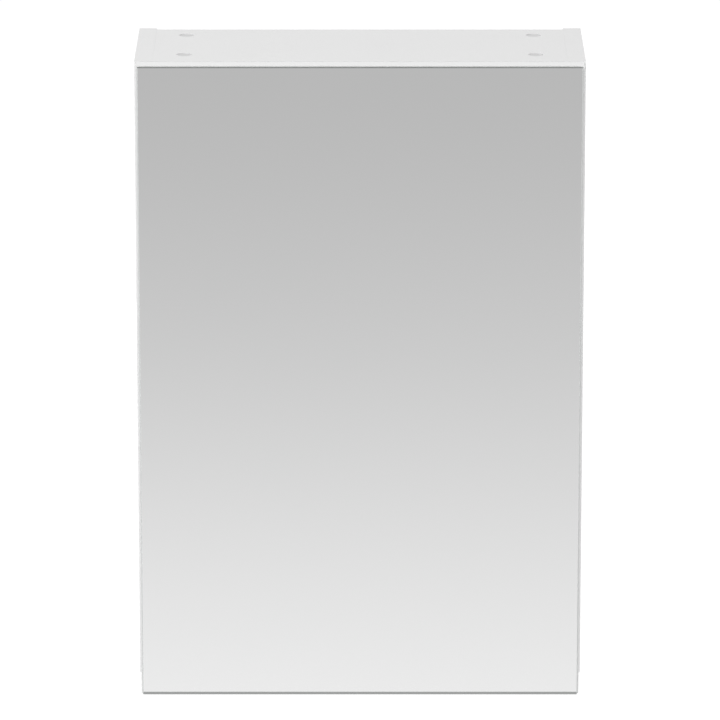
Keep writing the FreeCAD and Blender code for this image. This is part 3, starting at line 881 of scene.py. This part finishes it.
# %% [markdown]
# ## Shelf pins
# A pin has a stem in the board, a collar against it and a flat tongue under the glass. The stem and the
# collar start as round bars, and the collar is cut flat on top, level with the tongue, so that the
# glass lies on both. The tongue is a block with rounded corners and edges, as on a casting. The three
# are joined, and the pattern is copied for the left side and turned half round for the right.

# %% Model a pin
STEM_RADIUS = 2.5
STEM_LONG = 9.0
STEM_TIP = 0.5
COLLAR_RADIUS = 4.2
COLLAR_THICK = 1.5
COLLAR_EDGE = 0.3
TONGUE_LONG = 9.5
TONGUE_HALF = 3.5
TONGUE_UP = 1.8
TONGUE_DOWN = 1.0
TONGUE_CORNER = 2.0
TONGUE_EDGE = 0.35
CUT_REACH = 6.0
OVERCUT = 1.0


def beyond_collar(a, b):
    """A test for edges that reach beyond the collar."""
    return max(a.z, b.z) > COLLAR_THICK + NEAR


def through_tongue(a, b):
    """A test for edges that run through the tongue's thickness."""
    return abs(a.x - b.x) > NEAR


stem = start_bar("pin_stem", STEM_RADIUS, -STEM_LONG, 0.0, sides=32)
round_edges(stem, bottom_edge(-STEM_LONG), STEM_TIP, steps=2)
collar = start_bar("pin_collar", COLLAR_RADIUS, 0.0, COLLAR_THICK, sides=48)
cut_low = (-TONGUE_UP - CUT_REACH, -CUT_REACH, -OVERCUT)
cut_high = (-TONGUE_UP, CUT_REACH, COLLAR_THICK + OVERCUT)
carve(collar, start_block("collar_flat", cut_low, cut_high))
round_edges(collar, top_edge(COLLAR_THICK), COLLAR_EDGE, steps=2)
tongue_low = (-TONGUE_UP, -TONGUE_HALF, COLLAR_THICK)
tongue_high = (TONGUE_DOWN, TONGUE_HALF, COLLAR_THICK + TONGUE_LONG)
tongue = start_block("pin_tongue", tongue_low, tongue_high)
round_edges(tongue, lambda a, b: beyond_collar(a, b) and through_tongue(a, b), TONGUE_CORNER, steps=5)
round_edges(tongue, lambda a, b: beyond_collar(a, b) and not through_tongue(a, b), TONGUE_EDGE, steps=2)
pin = join("pin_pattern", [collar, stem, tongue])
print("pin with", len(pin.data.polygons), "faces")

# %% Copy the pins
TOWARDS_RIGHT = (0, math.pi / 2, 0)
TURNED_HALF_ROUND = (0, math.pi / 2, math.pi)

low, high = box_in_mm("shelf_pins")
board_face = high.x - STEM_LONG
pin_rows = (low.y + COLLAR_RADIUS, high.y - COLLAR_RADIUS)
pin_levels = (low.z + COLLAR_RADIUS, high.z - TONGUE_UP)
places = [(-board_face, y, z, TOWARDS_RIGHT) for y in pin_rows for z in pin_levels]
places += [(board_face, y, z, TURNED_HALF_ROUND) for y in pin_rows for z in pin_levels]
pins = lay_out("cast_shelf_pins", pin, places)
drop(pin)
finish_piece(pins, "carcass", [nickel], "shelf_pins")

# %% [markdown]
# ## Screws
# The screws that show have low rounded heads with a cross recess. One function turns the head from a
# bar, draws the shank out of its underside by inset and extrude, and cuts the cross with two small
# blocks. Four sizes are made from it: for the hinge plates, the hinge arms, the cups and the hangers.
# Where they go follows from the boxes of the CAD nodes and a few spacings.

# %% Pan-head screw
HEAD_ROUND = 0.55
CROSS_REACH = 0.58
CROSS_HALF = 0.13
CROSS_DEEP = 0.6


def pan_screw(head_radius, head_thick, shank_radius, shank_long):
    """A screw on the z axis with the underside of its head at z = 0."""
    screw = start_bar("screw_pattern", head_radius, 0.0, head_thick, sides=32)
    round_edges(screw, top_edge(head_thick), HEAD_ROUND * head_thick, steps=4)
    draw_out(screw, looks_down, head_radius - shank_radius, -shank_long)
    reach = CROSS_REACH * head_radius
    half = CROSS_HALF * head_radius
    cross_floor = head_thick - CROSS_DEEP * head_thick
    for x, y in ((reach, half), (half, reach)):
        bar = start_block("cross_bar", (-x, -y, cross_floor), (x, y, head_thick + OVERCUT))
        carve(screw, bar)
    return screw


# %% Screws of the hinge plates and arms
PLATE_HEAD = 1.5
PLATE_SPACING = 32.0
ARM_HEAD = 1.8
ARM_ROWS = (-126.0, -108.0)

cup_boxes = {level: box_in_mm("hinge_cup_" + level) for level in ("upper", "lower")}
hinge_levels = {level: (low.z + high.z) / 2 for level, (low, high) in cup_boxes.items()}

low, high = box_in_mm("hinge_base_screws")
plate_screw = pan_screw(head_radius=4.0, head_thick=PLATE_HEAD, shank_radius=2.5, shank_long=15.0)
plate_screws = lay_out("hinge_plate_screws", plate_screw, [
    (high.x - PLATE_HEAD, (low.y + high.y) / 2, z + side * PLATE_SPACING / 2, TOWARDS_RIGHT)
    for z in hinge_levels.values() for side in (-1, 1)])
drop(plate_screw)
finish_piece(plate_screws, "carcass", [zinc], "hinge_base_screws")

low, high = box_in_mm("hinge_arm_screws")
arm_screw = pan_screw(head_radius=3.2, head_thick=ARM_HEAD, shank_radius=1.9, shank_long=8.5)
arm_screws = lay_out("hinge_adjusting_screws", arm_screw, [
    (high.x - ARM_HEAD, y, z, TOWARDS_RIGHT) for z in hinge_levels.values() for y in ARM_ROWS])
drop(arm_screw)
finish_piece(arm_screws, "carcass", [zinc], "hinge_arm_screws")

# %% Screws of the cups and hangers
EAR_SPACING = 48.0
HANGER_SHANK = 24.0
HANGER_ROWS = (-24.0, -44.0)
TOWARDS_LEFT = (0, -math.pi / 2, 0)
TOWARDS_WALL = (-math.pi / 2, 0, 0)

low, high = cup_boxes["upper"]
cup_x = (low.x + high.x) / 2
ear_face = high.y
cup_screw = pan_screw(head_radius=3.3, head_thick=1.2, shank_radius=1.7, shank_long=13.0)
cup_screws = lay_out("hinge_cup_wood_screws", cup_screw, [
    (cup_x, ear_face, z + side * EAR_SPACING / 2, TOWARDS_WALL)
    for z in hinge_levels.values() for side in (-1, 1)])
drop(cup_screw)
finish_piece(cup_screws, "door", [zinc], "hinge_cup_screws")

low, high = box_in_mm("hanger_screws")
hanger_seat = high.x - HANGER_SHANK
hanger_screw = pan_screw(head_radius=3.2, head_thick=2.0, shank_radius=1.75, shank_long=HANGER_SHANK)
hanger_fixings = lay_out("hanger_wood_screws", hanger_screw, [
    (side * hanger_seat, y, (low.z + high.z) / 2, turn)
    for side, turn in ((-1, TOWARDS_RIGHT), (1, TOWARDS_LEFT)) for y in HANGER_ROWS])
drop(hanger_screw)
finish_piece(hanger_fixings, "carcass", [zinc], "hanger_screws")

# %% [markdown]
# ## Hinge cups
# A pressed cup sits in the door, with two flat ears screwed to the door's rear face. The cup starts as
# a bar whose mouth is inset and pushed down to leave a wall and a floor. The ears start as one long
# plate with rounded ends. Its outer edges get a small roll, and the mouth is cut through it.

# %% Hinge cups
CUP_RADIUS = 17.45
CUP_DEPTH = 12.0
CUP_WALL = 1.15
CUP_FLOOR = 1.1
CUP_CORNER = 0.8
EAR_LEFT = -7.0
EAR_RIGHT = 9.0
EAR_HALF = 30.0
EAR_THICK = 1.0
EAR_CORNER = 6.0
EAR_ROLL = 0.35

cup = start_bar("cup_pattern", CUP_RADIUS, -CUP_DEPTH, 0.0, sides=96)
draw_out(cup, looks_up, CUP_WALL, CUP_FLOOR - CUP_DEPTH)
round_edges(cup, bottom_edge(-CUP_DEPTH), CUP_CORNER, steps=3)
ears = start_block("ear_pattern", (EAR_LEFT, -EAR_HALF, 0.0), (EAR_RIGHT, EAR_HALF, EAR_THICK))
round_edges(ears, upright, EAR_CORNER, steps=8)
round_edges(ears, top_edge(EAR_THICK), EAR_ROLL, steps=2)
carve(ears, start_bar("cup_mouth", CUP_RADIUS - CUP_WALL, -OVERCUT, EAR_THICK + OVERCUT, sides=96))
cup = join("cup_pattern", [cup, ears])
for level, z in hinge_levels.items():
    pressed = lay_out("pressed_cup_" + level, cup, [(cup_x, ear_face - EAR_THICK, z, TOWARDS_WALL)])
    finish_piece(pressed, "door", [nickel], "hinge_cup_" + level)
drop(cup)

# %% [markdown]
# ## Door bumpers
# Two soft buttons on the right front edge stop the door from clapping. Each is a round bar whose outer
# edge is bevelled so far that it becomes a dome.

# %% Door bumpers
BUMPER_RADIUS = 4.0
BUMPER_THICK = 1.3
BUMPER_DOME = 1.1
TOWARDS_ROOM = (math.pi / 2, 0, 0)

low, high = box_in_mm("door_bumpers")
button = start_bar("bumper_pattern", BUMPER_RADIUS, 0.0, BUMPER_THICK, sides=48)
round_edges(button, top_edge(BUMPER_THICK), BUMPER_DOME, steps=6)
bumpers = lay_out("domed_bumpers", button, [
    ((low.x + high.x) / 2, high.y, z, TOWARDS_ROOM)
    for z in (low.z + BUMPER_RADIUS, high.z - BUMPER_RADIUS)])
drop(button)
finish_piece(bumpers, "carcass", [soft_polymer], "door_bumpers")

# %% [markdown]
# ## Rounding the steel and the mouldings
# Sheet steel and mouldings have no knife edges. Their CAD nodes have the right shape already, so three
# modifiers round them without touching the mesh: Weld joins the loose triangles, Decimate merges the
# flat ones into whole faces, and Bevel rounds what is left of the sharp edges.

# %% Round the edges of CAD nodes
WELD_REACH = 0.01
FLAT_ANGLE = math.radians(1)
SHARP_ANGLE = math.radians(40)


def soften(name, width, steps=2):
    """Weld, merge flat faces and bevel the sharp edges, as live modifiers."""
    node = nodes[name]
    weld = node.modifiers.new("weld", "WELD")
    weld.merge_threshold = WELD_REACH * MM
    flat = node.modifiers.new("flat", "DECIMATE")
    flat.decimate_type = "DISSOLVE"
    flat.angle_limit = FLAT_ANGLE
    edge = node.modifiers.new("edge", "BEVEL")
    edge.limit_method = "ANGLE"
    edge.angle_limit = SHARP_ANGLE
    edge.width = width * MM
    edge.segments = steps
    edge.use_clamp_overlap = True


for level in ("upper", "lower"):
    soften("hinge_base_" + level, 0.5)
    soften("hinge_arm_" + level, 0.7, steps=3)
    soften("hinge_link_" + level, 0.3)
for side in ("left", "right"):
    soften("wall_plate_" + side, 0.3)
    soften("hanger_hook_" + side, 0.3)
    soften("hanger_body_" + side, 0.6, steps=3)
soften("hanger_adjusters", 0.25)
print("softened", sum(bool(node.modifiers) for node in nodes.values()), "nodes")
